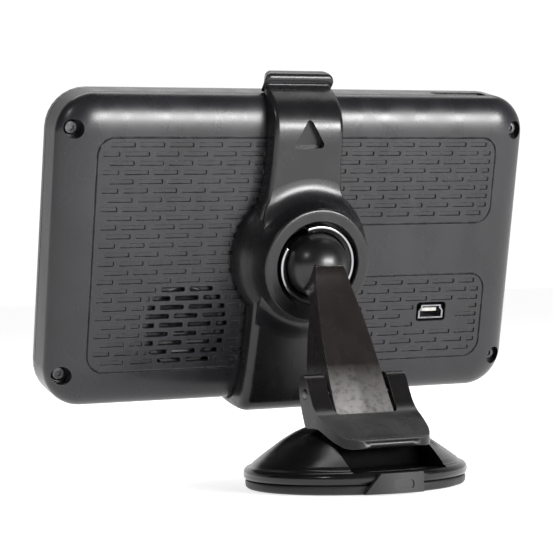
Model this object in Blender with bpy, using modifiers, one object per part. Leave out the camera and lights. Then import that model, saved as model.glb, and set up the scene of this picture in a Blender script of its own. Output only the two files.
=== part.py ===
"""Portable navigator in its clip-in cradle, on a ball-jointed arm and a lever suction cup.

Helper arguments are in millimetres; objects are placed in metres. World frame: the
origin is the centre of the suction cup's foot, +Z is up, the screen looks to -Y and the
lever's thumb paddle points to +Y. Everything from the ball socket to the touch screen is
drawn in the device frame, whose origin is the ball's centre and whose +Y leaves the
device's back, and is then leaned back with the cradle.
"""
import math

import bmesh
import bpy
from mathutils import Matrix, Vector

MM = 0.001

# ---- driving dimensions, millimetres -------------------------------------------------
BALL = (0.0, -19.4, 56.7)      # centre of the ball joint in the world
BALL_R = 8.5                   # standard 17 mm ball
LEAN = math.radians(-14.0)     # top of the device leans to the rear

CASE_W = 137.0
CASE_H = 83.0
CASE_D = 15.0
CASE_CZ = 1.4                  # case centre above the ball, device frame
BACK_Y = -10.9                 # flat back of the case
FRONT_Y = BACK_Y - CASE_D
SEAM_Y = -22.75                # front bezel meets the rear shell
CORNER_R = 10.6
SHOULDER_W = 10.3              # the back rolls off over this width
SHOULDER_D = 5.4               # and this depth
WALL = 1.8

WELL_X = 64.6                  # screw wells
WELL_DZ = 32.4
WELL_R = 2.5
WELL_Y = -16.2                 # floor of the wells

SPEAKER = (31.4, -18.1)
SPEAKER_R = 12.1
DASH_PITCH_X = 8.1
DASH_PITCH_Z = 2.4
DASH_L = 6.8
SLOT_H = 1.25

USB = (-42.4, -17.1)
CARD_Z = -20.9
CARD_Y = -17.1
KEY_X = -49.0
KEY_Y = -18.2

STRAP_Y = -5.4                 # rear face of the cradle strap
STRAP_X = 1.6                  # offset of its upper part
CLEAR = 0.3
BOSS_R = 19.6
COLLAR_Y = 1.8
BORE_R = 11.6
RING_R = 10.7
CAVITY_R = 9.8

PIN_Y = 1.6                    # lever axle
PIN_Z = 23.7
PIN_R = 1.3
DOME_TOP = 15.0
NOTCH_X = 12.9                 # finger notch under the paddle
NOTCH_Y = 7.9

PARTS = "portable_gps_navigator"
CUTS = "cutters"


# ---- scene and helper functions ------------------------------------------------------
for leftover in list(bpy.data.objects):
    bpy.data.objects.remove(leftover, do_unlink=True)

parts = bpy.data.collections.new(PARTS)
cuts = bpy.data.collections.new(CUTS)
bpy.context.scene.collection.children.link(parts)
bpy.context.scene.collection.children.link(cuts)

CASE_FRAME = Matrix.Translation(Vector(BALL) * MM) @ Matrix.Rotation(LEAN, 4, "X")
WORLD = Matrix.Identity(4)
TO_Y = Matrix.Rotation(math.radians(-90.0), 4, "X")    # local +Z turns to +Y
PLAN = Matrix.Identity(4)
FACE = Matrix.Rotation(math.radians(90.0), 4, "X")     # outline x, y lies in x, z
SIDE = Matrix(((0, 0, 1, 0), (1, 0, 0, 0), (0, 1, 0, 0), (0, 0, 0, 1)))


def material(name, colour, roughness, metallic=0.0):
    made = bpy.data.materials.new(name)
    made.use_nodes = True
    shader = made.node_tree.nodes["Principled BSDF"]
    shader.inputs["Base Color"].default_value = (*colour, 1.0)
    shader.inputs["Roughness"].default_value = roughness
    shader.inputs["Metallic"].default_value = metallic
    made.diffuse_color = (*colour, 1.0)
    return made


def moved(x, y, z):
    return Matrix.Translation(Vector((x, y, z)) * MM)


def smooth(thing, degrees=32.0):
    for face in thing.data.polygons:
        face.use_smooth = True
    thing.data.set_sharp_from_angle(angle=math.radians(degrees))


def carry(thing, frame):
    """Move a shape and every cutter that shapes it."""
    thing.matrix_world = frame @ thing.matrix_world
    for step in thing.modifiers:
        if step.type == "BOOLEAN":
            carry(step.object, frame)


def dress(thing, look, frame):
    carry(thing, frame)
    thing.data.materials.clear()
    thing.data.materials.append(look)
    smooth(thing)
    return thing


def link(name, form, where=None):
    shape = bpy.data.meshes.new(name)
    form.normal_update()
    form.to_mesh(shape)
    form.free()
    thing = bpy.data.objects.new(name, shape)
    (where or parts).objects.link(thing)
    return thing


def hide_cutter(thing):
    for holder in list(thing.users_collection):
        holder.objects.unlink(thing)
    cuts.objects.link(thing)
    thing.hide_render = True
    thing.display_type = "WIRE"


def boolean(thing, cutter, operation="DIFFERENCE"):
    step = thing.modifiers.new(cutter.name, "BOOLEAN")
    step.operation = operation
    step.solver = "EXACT"
    step.object = cutter
    hide_cutter(cutter)
    return step


def soften(thing, width, segments=2, degrees=35.0):
    step = thing.modifiers.new("soft_edges", "BEVEL")
    step.width = width * MM
    step.segments = segments
    step.limit_method = "ANGLE"
    step.angle_limit = math.radians(degrees)
    step.use_clamp_overlap = True
    return step


def block(name, low, high, rounds=(), where=None):
    """A box from low to high; rounds lists (kind, axis, radius, segments)."""
    form = bmesh.new()
    bmesh.ops.create_cube(form, size=1.0)
    low = Vector(low) * MM
    high = Vector(high) * MM
    for vert in form.verts:
        for k in range(3):
            vert.co[k] = low[k] + (vert.co[k] + 0.5) * (high[k] - low[k])
    for kind, axis, radius, segments in rounds:
        k = "xyz".index(axis)
        chosen = []
        for edge in form.edges:
            a, b = (v.co for v in edge.verts)
            along = all(abs(a[j] - b[j]) < 1e-7 for j in range(3) if j != k)
            if kind == "along" and along:
                chosen.append(edge)
            level = high[k] if kind == "high" else low[k]
            if kind != "along" and abs(a[k] - level) < 1e-7 and abs(b[k] - level) < 1e-7:
                chosen.append(edge)
        bmesh.ops.bevel(form, geom=chosen, offset=radius * MM, segments=segments,
                        profile=0.5, affect="EDGES", clamp_overlap=True)
    return link(name, form, where)


def rolled(name, low, high, corner, width, depth, steps, where=None):
    """A box with round corners whose rear edge rolls off over an ellipse."""
    stretch = width - depth
    thing = block(name, low, (high[0], high[1] + stretch, high[2]),
                  [("along", "y", corner, 8), ("high", "y", width, steps)], where)
    level = (high[1] + stretch - width) * MM
    for vert in thing.data.vertices:
        if vert.co.y > level:
            vert.co.y = level + (vert.co.y - level) * depth / width
    return thing


def rod(name, radius, start, end, segments=32, tip=None, where=None):
    """A round rod from start to end along one axis; tip is the radius at the end."""
    form = bmesh.new()
    start = Vector(start) * MM
    end = Vector(end) * MM
    bmesh.ops.create_cone(form, cap_ends=True, cap_tris=False, segments=segments,
                          radius1=radius * MM, radius2=(tip or radius) * MM,
                          depth=(end - start).length)
    turn = Vector((0.0, 0.0, 1.0)).rotation_difference(end - start).to_matrix().to_4x4()
    place = Matrix.Translation((start + end) * 0.5) @ turn
    bmesh.ops.transform(form, matrix=place, verts=form.verts)
    return link(name, form, where)


def turned(name, profile, frame=WORLD, steps=48, closed=False, angle=360.0, where=None):
    """A lathe shape from (radius, height) points, outer side running downwards."""
    form = bmesh.new()
    row = [form.verts.new((r * MM, 0.0, h * MM)) for r, h in profile]
    for a, b in zip(row[:-1], row[1:]):
        form.edges.new((a, b))
    if closed:
        form.edges.new((row[-1], row[0]))
    thing = link(name, form, where)
    step = thing.modifiers.new("lathe", "SCREW")
    step.axis = "Z"
    step.angle = math.radians(angle)
    step.steps = steps
    step.render_steps = steps
    step.use_merge_vertices = True
    step.merge_threshold = 0.00001
    step.use_smooth_shade = True
    thing.matrix_world = frame
    return thing


def settle(thing):
    """Turn a shape with modifiers into a plain mesh that keeps its place."""
    bpy.context.view_layer.update()
    graph = bpy.context.evaluated_depsgraph_get()
    shape = bpy.data.meshes.new_from_object(thing.evaluated_get(graph))
    form = bmesh.new()
    form.from_mesh(shape)
    bmesh.ops.remove_doubles(form, verts=form.verts, dist=0.000001)
    bmesh.ops.recalc_face_normals(form, faces=form.faces)
    form.to_mesh(shape)
    form.free()
    place = thing.matrix_world.copy()
    name = thing.name
    homes = list(thing.users_collection)
    bpy.data.objects.remove(thing, do_unlink=True)
    plain = bpy.data.objects.new(name, shape)
    for home in homes:
        home.objects.link(plain)
    plain.matrix_world = place
    return plain


def plate(name, outline, low, high, view, where=None):
    """A closed outline given thickness along its view axis, from low to high."""
    curve = bpy.data.curves.new(name, "CURVE")
    curve.dimensions = "2D"
    curve.fill_mode = "BOTH"
    curve.extrude = (high - low) * 0.5 * MM
    line = curve.splines.new("POLY")
    line.points.add(len(outline) - 1)
    for point, (a, b) in zip(line.points, outline):
        point.co = (a * MM, b * MM, 0.0, 1.0)
    line.use_cyclic_u = True
    thing = bpy.data.objects.new(name, curve)
    (where or parts).objects.link(thing)
    middle = (low + high) * 0.5
    if view is FACE:
        middle = -middle
    thing.matrix_world = view @ moved(0.0, 0.0, middle)
    made = settle(thing)
    place = made.matrix_world.copy()
    made.data.transform(place)
    made.matrix_world = Matrix.Identity(4)
    return made


def mirrored(half):
    """Close a half outline, drawn at x > 0 from bottom to top, with its mirror image."""
    return list(half) + [(-x, z) for x, z in reversed(half)]


def arc(cx, cy, radius, start, end, count):
    points = []
    for k in range(count + 1):
        turn = math.radians(start + (end - start) * k / count)
        points.append((cx + radius * math.cos(turn), cy + radius * math.sin(turn)))
    return points


def several(name, boxes):
    """One cutter made of separate boxes, each given as (low, high)."""
    form = bmesh.new()
    for low, high in boxes:
        made = bmesh.ops.create_cube(form, size=1.0)
        for vert in made["verts"]:
            for k in range(3):
                span = high[k] - low[k]
                vert.co[k] = (low[k] + (vert.co[k] + 0.5) * span) * MM
    return link(name, form, cuts)


# ---- materials -----------------------------------------------------------------------
SHELL = material("shell_grey", (0.045, 0.044, 0.050), 0.46)
BEZEL = material("bezel_black", (0.016, 0.016, 0.018), 0.22)
GLASS = material("panel_glass", (0.02, 0.022, 0.026), 0.08)
CRADLE = material("cradle_black", (0.022, 0.022, 0.025), 0.38)
SEAT = material("seat_plastic", (0.05, 0.05, 0.05), 0.5)
RING = material("ring_gloss", (0.03, 0.03, 0.033), 0.18)
ARM = material("arm_black", (0.026, 0.023, 0.023), 0.36)
LEVER = material("lever_black", (0.024, 0.022, 0.023), 0.34)
DOME = material("dome_black", (0.010, 0.010, 0.012), 0.26)
RUBBER = material("cup_rubber", (0.030, 0.030, 0.030), 0.62)
STEEL = material("steel", (0.62, 0.62, 0.64), 0.3, 1.0)
BOARD = material("board_green", (0.02, 0.12, 0.05), 0.45)
CHIP = material("chip_black", (0.02, 0.02, 0.022), 0.5)
CERAMIC = material("antenna_ceramic", (0.55, 0.50, 0.42), 0.55)
CELL = material("cell_wrap", (0.35, 0.36, 0.38), 0.4)
FILM = material("ribbon_amber", (0.45, 0.22, 0.04), 0.35)
FOAM = material("gasket_foam", (0.03, 0.03, 0.03), 0.9)
LCD = material("display_grey", (0.10, 0.11, 0.12), 0.15)


# ---- navigator case ------------------------------------------------------------------
half_w = CASE_W / 2
z_low = CASE_CZ - CASE_H / 2
z_high = CASE_CZ + CASE_H / 2
shell = rolled("rear_shell", (-half_w, SEAM_Y + 0.15, z_low), (half_w, BACK_Y, z_high),
               CORNER_R, SHOULDER_W, SHOULDER_D, 7)

# The hollow inside leaves a post of material around each screw.
hollow = rolled("shell_hollow", (-half_w + WALL, SEAM_Y - 4.0, z_low + WALL),
                (half_w - WALL, BACK_Y - WALL, z_high - WALL),
                CORNER_R - WALL, SHOULDER_W - WALL, SHOULDER_D - 0.6, 5, cuts)
corners = [(sx * WELL_X, CASE_CZ + sz * WELL_DZ) for sz in (1, -1) for sx in (1, -1)]
for number, (wx, wz) in enumerate(corners, 1):
    post = rod(f"post_{number}", 3.9, (wx, SEAM_Y - 6.0, wz), (wx, BACK_Y + 2.0, wz),
               segments=20, where=cuts)
    boolean(hollow, post)
boolean(shell, hollow)
for number, (wx, wz) in enumerate(corners, 1):
    well = rod(f"well_{number}", WELL_R, (wx, WELL_Y, wz), (wx, BACK_Y + 3.0, wz),
               segments=28, where=cuts)
    boolean(shell, well)
    bore = rod(f"screw_bore_{number}", 1.3, (wx, SEAM_Y - 1.0, wz), (wx, WELL_Y + 1.0, wz),
               segments=12, where=cuts)
    boolean(shell, bore)

# Speaker slots take the place of the surface dashes inside one circle.
slots = []
for row in range(-4, 5):
    z = SPEAKER[1] + row * DASH_PITCH_Z
    reach = math.sqrt(SPEAKER_R ** 2 - (row * DASH_PITCH_Z) ** 2)
    shift = 0.0 if row % 2 else DASH_PITCH_X / 2
    for k in range(-2, 3):
        middle = k * DASH_PITCH_X + shift
        left = max(middle - DASH_L / 2, -reach)
        right = min(middle + DASH_L / 2, reach)
        if right - left > 1.6:
            slots.append(((SPEAKER[0] + left, BACK_Y - 3.0, z - SLOT_H / 2),
                          (SPEAKER[0] + right, BACK_Y + 1.0, z + SLOT_H / 2)))
slots.append(((USB[0] - 4.15, BACK_Y - 3.0, USB[1] - 2.3),
              (USB[0] + 4.15, BACK_Y + 1.0, USB[1] + 2.3)))
slots.append(((-half_w - 1.0, CARD_Y - 0.95, CARD_Z - 6.0),
              (-half_w + 3.0, CARD_Y + 0.95, CARD_Z + 6.0)))
slots.append(((KEY_X - 8.0, KEY_Y - 2.4, z_high - 3.0),
              (KEY_X + 8.0, KEY_Y + 2.4, z_high + 1.0)))
slots.append(((-half_w - 1.0, CARD_Y - 3.0, CARD_Z - 6.9),
              (-half_w + 0.7, CARD_Y + 3.4, CARD_Z + 6.9)))
boolean(shell, several("shell_openings", slots))
dress(shell, SHELL, CASE_FRAME)

bezel_round = [("along", "y", CORNER_R, 8), ("low", "y", 1.6, 3)]
bezel = block("front_bezel", (-half_w, FRONT_Y, z_low), (half_w, SEAM_Y - 0.15, z_high),
              bezel_round)
behind = block("bezel_rear_hollow", (-half_w + WALL, FRONT_Y + 1.1, z_low + WALL),
               (half_w - WALL, SEAM_Y + 2.0, z_high - WALL),
               [("along", "y", CORNER_R - WALL, 6)], cuts)
for number, (wx, wz) in enumerate(corners, 1):
    post = rod(f"bezel_post_{number}", 3.6, (wx, FRONT_Y - 2.0, wz), (wx, SEAM_Y + 3.0, wz),
               segments=20, where=cuts)
    boolean(behind, post)
boolean(bezel, behind)
window = block("bezel_window", (-56.6, FRONT_Y - 2.0, CASE_CZ - 33.0),
               (56.6, SEAM_Y + 3.0, CASE_CZ + 33.0), [("along", "y", 1.5, 3)], cuts)
boolean(bezel, window)
for number, (wx, wz) in enumerate(corners, 1):
    bore = rod(f"bezel_bore_{number}", 1.2, (wx, FRONT_Y + 1.0, wz), (wx, SEAM_Y + 1.0, wz),
               segments=12, where=cuts)
    boolean(bezel, bore)
dress(bezel, BEZEL, CASE_FRAME)

for number, (wx, wz) in enumerate(corners, 1):
    profile = [(0.0, 1.2), (1.55, 1.2), (1.95, 0.8), (2.05, 0.2), (2.05, 0.0), (1.0, 0.0),
               (1.0, -8.2), (0.0, -8.5)]
    screw = turned(f"case_screw_{number}", profile, moved(wx, WELL_Y + 0.15, wz) @ TO_Y, 20)
    cross = rod(f"drive_{number}", 0.9, (wx, WELL_Y + 0.75, wz), (wx, WELL_Y + 2.5, wz),
                segments=6, where=cuts)
    boolean(screw, cross)
    dress(screw, STEEL, CASE_FRAME)

key_cap = block("power_button", (KEY_X - 7.6, KEY_Y - 2.0, z_high - 2.2),
                (KEY_X + 7.6, KEY_Y + 2.0, z_high - 0.4),
                [("along", "z", 1.0, 3), ("high", "z", 0.4, 2)])
flange = block("button_flange", (KEY_X - 9.0, KEY_Y - 3.0, z_high - 3.0),
               (KEY_X + 9.0, KEY_Y + 0.5, z_high - 2.1), (), cuts)
boolean(key_cap, flange, "UNION")
dress(key_cap, BEZEL, CASE_FRAME)


# ---- inside the case, from the screen to the back --------------------------------------
def inside(name, low, high, look, rounds=()):
    made = block(name, low, high, rounds)
    return dress(made, look, CASE_FRAME)


inside("touch_panel", (-59.5, -24.6, CASE_CZ - 36.0), (59.5, -23.5, CASE_CZ + 36.0), GLASS,
       [("along", "y", 1.0, 2)])
inside("lcd_panel", (-58.5, -23.2, CASE_CZ - 35.0), (58.5, -21.6, CASE_CZ + 35.0), LCD)
inside("backlight_tray", (-59.0, -21.3, CASE_CZ - 35.5), (59.0, -19.7, CASE_CZ + 35.5), STEEL,
       [("along", "y", 1.0, 2)])

board = block("main_board", (-60.0, -19.1, CASE_CZ - 37.5), (60.0, -17.9, CASE_CZ + 37.5),
              [("along", "y", 1.0, 2)])
dress(board, BOARD, CASE_FRAME)

inside("battery_cell", (-24.0, -17.5, -32.6), (15.0, -13.4, 2.0), CELL, [("along", "z", 1.2, 3)])
inside("processor_chip", (-14.0, -17.6, 10.0), (0.0, -16.4, 24.0), CHIP)
inside("memory_chip", (6.0, -17.6, 12.0), (16.0, -16.6, 24.0), CHIP)
shield = block("rf_shield_can", (24.0, -17.6, 6.0), (44.0, -15.2, 24.0),
               [("along", "y", 0.8, 2), ("high", "y", 0.4, 2)])
dress(shield, STEEL, CASE_FRAME)
inside("antenna_patch", (28.0, -17.6, 25.2), (39.0, -14.2, 36.2), CERAMIC,
       [("along", "y", 0.8, 2), ("high", "y", 0.4, 2)])
inside("display_ribbon", (-12.0, -19.55, -32.0), (8.0, -19.3, 6.0), FILM)
inside("power_switch", (KEY_X - 3.0, -17.6, z_high - 6.4), (KEY_X + 3.0, -15.6, z_high - 3.6), CHIP)

driver_profile = [(0.0, 1.1), (2.2, 0.9), (3.4, 0.2), (8.6, 1.5), (9.6, 2.0), (10.4, 1.7),
                  (10.8, 1.7), (11.5, 1.7), (11.5, 0.9), (8.4, -0.1), (7.4, -0.7), (7.4, -2.3),
                  (0.0, -2.3)]
driver = turned("speaker_driver", driver_profile, moved(SPEAKER[0], -15.2, SPEAKER[1]) @ TO_Y, 28)
dress(driver, CHIP, CASE_FRAME)
gasket = turned("speaker_gasket", [(10.2, 0.25), (11.6, 0.25), (11.6, -0.2), (10.2, -0.2)],
                moved(SPEAKER[0], -13.1, SPEAKER[1]) @ TO_Y, 28, closed=True)
dress(gasket, FOAM, CASE_FRAME)

# Mini-USB: a folded metal shell, narrower along its top edge, and the contact tongue.
trapezoid = [(-3.85, -1.9), (3.85, -1.9), (3.85, 0.2), (3.1, 1.2), (3.1, 1.9), (-3.1, 1.9),
             (-3.1, 1.2), (-3.85, 0.2)]
usb_shell = plate("usb_socket_shell", [(USB[0] + a, USB[1] + b) for a, b in trapezoid],
                  -17.5, BACK_Y - 0.1, FACE)
mouth = plate("usb_mouth", [(USB[0] + a * 0.87, USB[1] + b * 0.78) for a, b in trapezoid],
              -16.9, BACK_Y + 2.0, FACE, cuts)
boolean(usb_shell, mouth)
dress(usb_shell, STEEL, CASE_FRAME)
inside("usb_contact_tongue", (USB[0] - 2.3, -16.6, USB[1] - 0.1),
       (USB[0] + 2.3, BACK_Y - 1.2, USB[1] + 0.8), SEAT)

card = block("card_socket", (-half_w + 3.9, -17.6, CARD_Z - 6.0),
             (-half_w + 18.0, -15.8, CARD_Z + 6.0), ())
card_mouth = block("card_mouth", (-half_w + 2.0, -17.3, CARD_Z - 5.55),
                   (-half_w + 17.0, -16.2, CARD_Z + 5.55), (), cuts)
boolean(card, card_mouth)
dress(card, STEEL, CASE_FRAME)


# ---- cradle --------------------------------------------------------------------------
roll_y = BACK_Y - SHOULDER_D
top_arc = [(roll_y + (SHOULDER_D + CLEAR) * math.cos(a),
            z_high - SHOULDER_W + (SHOULDER_W + CLEAR) * math.sin(a))
           for a in (0.0, 0.31, 0.63, 0.94, 1.26, math.pi / 2)]
low_arc = [(y, 2 * CASE_CZ - z) for y, z in reversed(top_arc)]
over = z_high + CLEAR
under = z_low - CLEAR
rear_line = [(-23.5, under - 1.7), (-9.6, under - 1.7), (-7.3, under - 0.9),
             (-5.8, under + 0.9), (STRAP_Y, under + 3.2), (STRAP_Y, 33.0), (-5.9, 36.0),
             (-7.2, 39.0), (-9.2, 41.4), (-12.1, 43.5), (-14.4, 44.8), (-14.9, 45.5),
             (-14.2, 46.1), (-13.85, 47.1), (-14.15, 48.15), (-15.2, 48.8), (-17.3, 48.9),
             (-18.3, 48.2), (-18.6, 46.6), (-19.1, over + 1.8), (-22.0, over + 1.8)]
side_line = rear_line + [(-22.0, over)] + list(reversed(top_arc)) + list(reversed(low_arc))
side_line = side_line + [(-23.5, under)]
cradle = plate("cradle_bracket", side_line, -22.0, 22.0, SIDE)
# The upper part of the strap is narrower and stands a little to the +X side.
half_strap = [(15.4, -43.0), (15.4, -38.0), (14.8, -28.0), (14.3, -14.0), (14.6, -5.0),
              (14.6, 8.0), (13.1, 13.6), (11.8, 15.4), (11.0, 17.6), (10.5, 20.5),
              (10.2, 25.0), (10.1, 32.0), (10.0, 50.0)]
lean_x = [0.0, 0.0, 0.0, 0.0, 0.0, 0.0, STRAP_X * 0.6, STRAP_X * 0.8] + [STRAP_X] * 5
strap_line = [(w + d, z) for (w, z), d in zip(half_strap, lean_x)]
strap_line += [(d - w, z) for (w, z), d in reversed(list(zip(half_strap, lean_x)))]
strap_cut = plate("strap_outline", strap_line, -30.0, 10.0, FACE, cuts)
boolean(cradle, strap_cut, "INTERSECT")
cradle = settle(cradle)
hide_cutter(strap_cut)
soften(cradle, 0.9, 3)
boss_profile = [(0.0, COLLAR_Y), (14.4, COLLAR_Y), (14.9, COLLAR_Y - 0.15), (15.2, COLLAR_Y - 0.6),
                (15.4, 0.2), (15.9, -1.6), (16.8, -3.8), (18.0, -6.0), (19.1, -7.8),
                (BOSS_R, -9.4), (BOSS_R, BACK_Y + CLEAR), (0.0, BACK_Y + CLEAR)]
boss = turned("boss", boss_profile, TO_Y, 48, where=cuts)
boolean(cradle, boss, "UNION")
pocket_half = [(13.0, -37.0), (12.6, -28.0), (12.0, -20.2)]
pocket_low = plate("lower_pocket", mirrored(pocket_half), BACK_Y - 2.0, STRAP_Y - 2.0, FACE, cuts)
boolean(cradle, pocket_low)
pocket_line = [(STRAP_X + x, z) for x, z in mirrored([(8.2, 20.2), (7.7, 24.0), (7.7, 37.5)])]
pocket_top = plate("upper_pocket", pocket_line, BACK_Y - 2.0, STRAP_Y - 2.0, FACE, cuts)
boolean(cradle, pocket_top)
bowl = [(0.0, 4.0), (BORE_R + 0.35, 4.0), (BORE_R + 0.35, COLLAR_Y + 0.05),
        (BORE_R, COLLAR_Y - 0.3), (BORE_R, -3.4)]
bowl += [(CAVITY_R * math.cos(math.radians(a)), -CAVITY_R * math.sin(math.radians(a)))
         for a in (20.3, 32, 44, 56, 68, 79)]
bowl += [(0.0, -CAVITY_R)]
socket_cut = turned("socket_cavity", bowl, TO_Y, 48, where=cuts)
boolean(cradle, socket_cut)
triangle = [(STRAP_X + x, z) for x, z in ((4.1, 29.9), (0.35, 37.2), (-0.35, 37.2), (-4.1, 29.9))]
mark = plate("triangle_mark", triangle,
             STRAP_Y - 1.1, STRAP_Y + 2.0, FACE, cuts)
boolean(cradle, mark)
dress(cradle, CRADLE, CASE_FRAME)

# The seat pad bears on the front of the ball; the split ring grips it behind.
pad = [(0.0, -8.8)]
pad_in = [(8.8 * math.sin(math.radians(a)), -8.8 * math.cos(math.radians(a)))
          for a in (9, 18, 27, 36, 45)]
pad_out = [(9.45 * math.sin(math.radians(a)), -9.45 * math.cos(math.radians(a)))
           for a in (45, 36, 27, 18, 9)]
seat = turned("ball_seat_pad", pad + pad_in + pad_out + [(0.0, -9.45)], TO_Y, 28)
dress(seat, SEAT, CASE_FRAME)

ring_profile = [(9.7, 1.7), (10.4, 1.7), (RING_R, 1.4), (RING_R, -2.9), (9.9, -3.1), (9.3, -2.6),
                (8.8, -1.5), (8.75, 0.9), (9.45, 1.5)]
ring = turned("socket_spring_ring", ring_profile, TO_Y, 48, closed=True)
gap = plate("ring_gap", [(0.0, 0.0)] + arc(0.0, 0.0, 15.0, 27, 69, 3), -6.0, 6.0, FACE, cuts)
boolean(ring, gap)
dress(ring, RING, CASE_FRAME)


# ---- arm and ball --------------------------------------------------------------------
arm_side = [(-17.5, 56.2), (-14.2, 56.0), (-12.3, 54.6), (-6.3, 46.1), (-1.0, 35.5), (7.7, 17.7),
            (7.3, 17.4), (-5.2, 17.4), (-8.6, 20.6), (-10.6, 26.0), (-11.1, 35.6), (-10.7, 45.2),
            (-13.6, 48.4), (-18.5, 51.2)]
arm = plate("mount_arm", arm_side, -12.0, 12.0, SIDE)
arm_front = [(7.5, 14.0), (7.5, 18.0), (6.7, 35.5), (5.9, 44.0), (5.0, 50.0), (3.9, 54.0),
             (2.6, 56.4), (0.8, 57.4)]
arm_cut = plate("arm_taper", mirrored(arm_front), -40.0, 40.0, FACE, cuts)
boolean(arm, arm_cut, "INTERSECT")
arm = settle(arm)
hide_cutter(arm_cut)
soften(arm, 0.7, 2)
ball_form = bmesh.new()
bmesh.ops.create_uvsphere(ball_form, u_segments=32, v_segments=18, radius=BALL_R * MM)
ball_tilt = Matrix.Translation(Vector(BALL) * MM) @ Matrix.Rotation(LEAN, 4, "X") @ TO_Y
bmesh.ops.transform(ball_form, matrix=ball_tilt, verts=ball_form.verts)
ball = link("ball", ball_form, cuts)
boolean(arm, ball, "UNION")
pin_hole = rod("arm_pin_hole", PIN_R + 0.08, (-20.0, PIN_Y, PIN_Z), (20.0, PIN_Y, PIN_Z),
               segments=24, where=cuts)
boolean(arm, pin_hole)
stem_hole = rod("arm_stem_hole", 3.9, (0.0, 0.0, 10.0), (0.0, 0.0, 20.4), segments=28, where=cuts)
boolean(arm, stem_hole)
dress(arm, ARM, WORLD)

stem_profile = [(0.0, 20.1), (3.3, 20.1), (3.8, 19.6), (3.8, 5.0), (5.6, 4.7), (5.6, 3.4),
                (0.0, 3.4)]
stem = turned("suction_stem", stem_profile, WORLD, 32)
dress(stem, SEAT, WORLD)

pin_profile = [(0.0, 14.5), (0.9, 14.45), (PIN_R, 14.1), (PIN_R, -14.1), (0.9, -14.45),
               (0.0, -14.5)]
pin_place = moved(0.0, PIN_Y, PIN_Z) @ Matrix.Rotation(math.pi / 2, 4, "Y")
pin = turned("lever_pin", pin_profile, pin_place, 24)
dress(pin, STEEL, WORLD)


# ---- suction base --------------------------------------------------------------------
dome_profile = [(4.5, DOME_TOP), (11.6, DOME_TOP), (12.6, 14.8), (14.2, 14.2), (16.0, 13.4),
                (18.6, 11.9), (21.0, 10.2), (23.8, 8.2), (25.9, 6.5), (27.3, 5.3), (28.1, 4.7),
                (28.5, 4.0), (28.5, 3.3), (28.1, 2.8), (27.4, 2.7), (25.4, 2.7), (24.6, 4.6),
                (21.0, 7.6), (17.0, 10.3), (13.0, 12.2), (9.6, 12.6), (9.6, 5.4), (8.4, 5.4),
                (4.5, 7.0)]
dome = turned("base_dome", dome_profile, WORLD, 48, closed=True)
fill = plate("notch_walls", [(-14.9, 6.0), (14.9, 6.0), (14.9, 22.0), (-14.9, 22.0)],
             4.0, 13.0, PLAN, cuts)
dome_outer = turned("dome_limit", [(0.0, 14.0), (11.6, 14.0), (14.0, 13.2), (16.0, 12.4),
                                   (21.0, 9.2), (25.0, 6.0), (26.6, 4.6), (26.6, 3.4), (0.0, 3.4)],
                    WORLD, 48, where=cuts)
boolean(fill, dome_outer, "INTERSECT")
boolean(dome, fill, "UNION")
notch = block("finger_notch", (-NOTCH_X, NOTCH_Y, 5.2), (NOTCH_X, 40.0, 30.0),
              [("along", "z", 1.0, 2)], cuts)
boolean(dome, notch)
dress(dome, DOME, WORLD)

cup_profile = [(0.0, 3.0), (9.0, 3.0), (10.0, 2.6), (24.4, 2.35), (27.2, 2.35), (27.9, 1.9),
               (28.0, 1.1), (27.5, 0.2), (26.9, 0.0), (0.0, 0.0)]
cup = turned("suction_cup", cup_profile, WORLD, 48)
tab_foot = plate("tab_foot", arc(0.0, 0.0, 29.5, 69, 95, 7) + arc(0.0, 0.0, 26.0, 95, 69, 7),
                 0.45, 1.8, PLAN, cuts)
tab_flap = plate("tab_flap", arc(0.0, 0.0, 30.1, 66, 97, 8) + arc(0.0, 0.0, 28.9, 97, 66, 8),
                 0.25, 5.2, PLAN, cuts)
boolean(tab_foot, tab_flap, "UNION")
boolean(cup, tab_foot, "UNION")
dress(cup, RUBBER, WORLD)

lever_side = [(-0.9, 26.9), (0.0, 28.0), (1.3, 28.5), (2.7, 28.3), (4.0, 27.2), (4.6, 24.5),
              (5.0, 21.8), (5.8, 19.9), (7.6, 18.3), (10.6, 16.9), (15.0, 14.9), (18.6, 13.3),
              (20.3, 12.9), (21.2, 12.2), (21.3, 11.3), (20.6, 10.7), (18.8, 10.9), (14.5, 12.6),
              (9.5, 14.8), (6.5, 15.35), (1.7, 15.35), (0.3, 17.2), (-0.7, 20.6), (-1.1, 24.0)]
lever = plate("suction_lever", lever_side, -20.0, 20.0, SIDE)
lever_half = [(14.2, -5.0), (14.2, 5.5), (14.1, 9.0), (13.7, 12.5), (13.0, 16.0), (11.8, 18.6),
              (9.6, 20.4), (6.5, 21.2), (3.0, 21.4)]
lever_plan = plate("lever_plan", mirrored(lever_half), 5.0, 35.0, PLAN, cuts)
boolean(lever, lever_plan, "INTERSECT")
lever = settle(lever)
hide_cutter(lever_plan)
throat = block("lever_throat", (-8.9, -8.0, 5.0), (8.9, 8.4, 35.0), [("along", "z", 1.2, 3)], cuts)
boolean(lever, throat)
lever = settle(lever)
hide_cutter(throat)
soften(lever, 0.55, 2, 40.0)
eye = rod("lever_pin_hole", PIN_R + 0.08, (-20.0, PIN_Y, PIN_Z), (20.0, PIN_Y, PIN_Z),
          segments=24, where=cuts)
boolean(lever, eye)
dress(lever, LEVER, WORLD)

for cutter in list(cuts.objects):
    cutter.hide_render = True
    cutter.display_type = "WIRE"
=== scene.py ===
"""Looks of the portable navigator in its cradle, on its suction mount.

Helper arguments are in millimetres. Pieces of the navigator, the cradle and the ball socket
are drawn in the device frame (origin at the ball's centre, +Y out of the device's back) and
then leaned back with the cradle; the arm and the suction base are drawn in the world frame.
"""
import math

import bmesh
import bpy
from mathutils import Matrix, Vector


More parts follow.
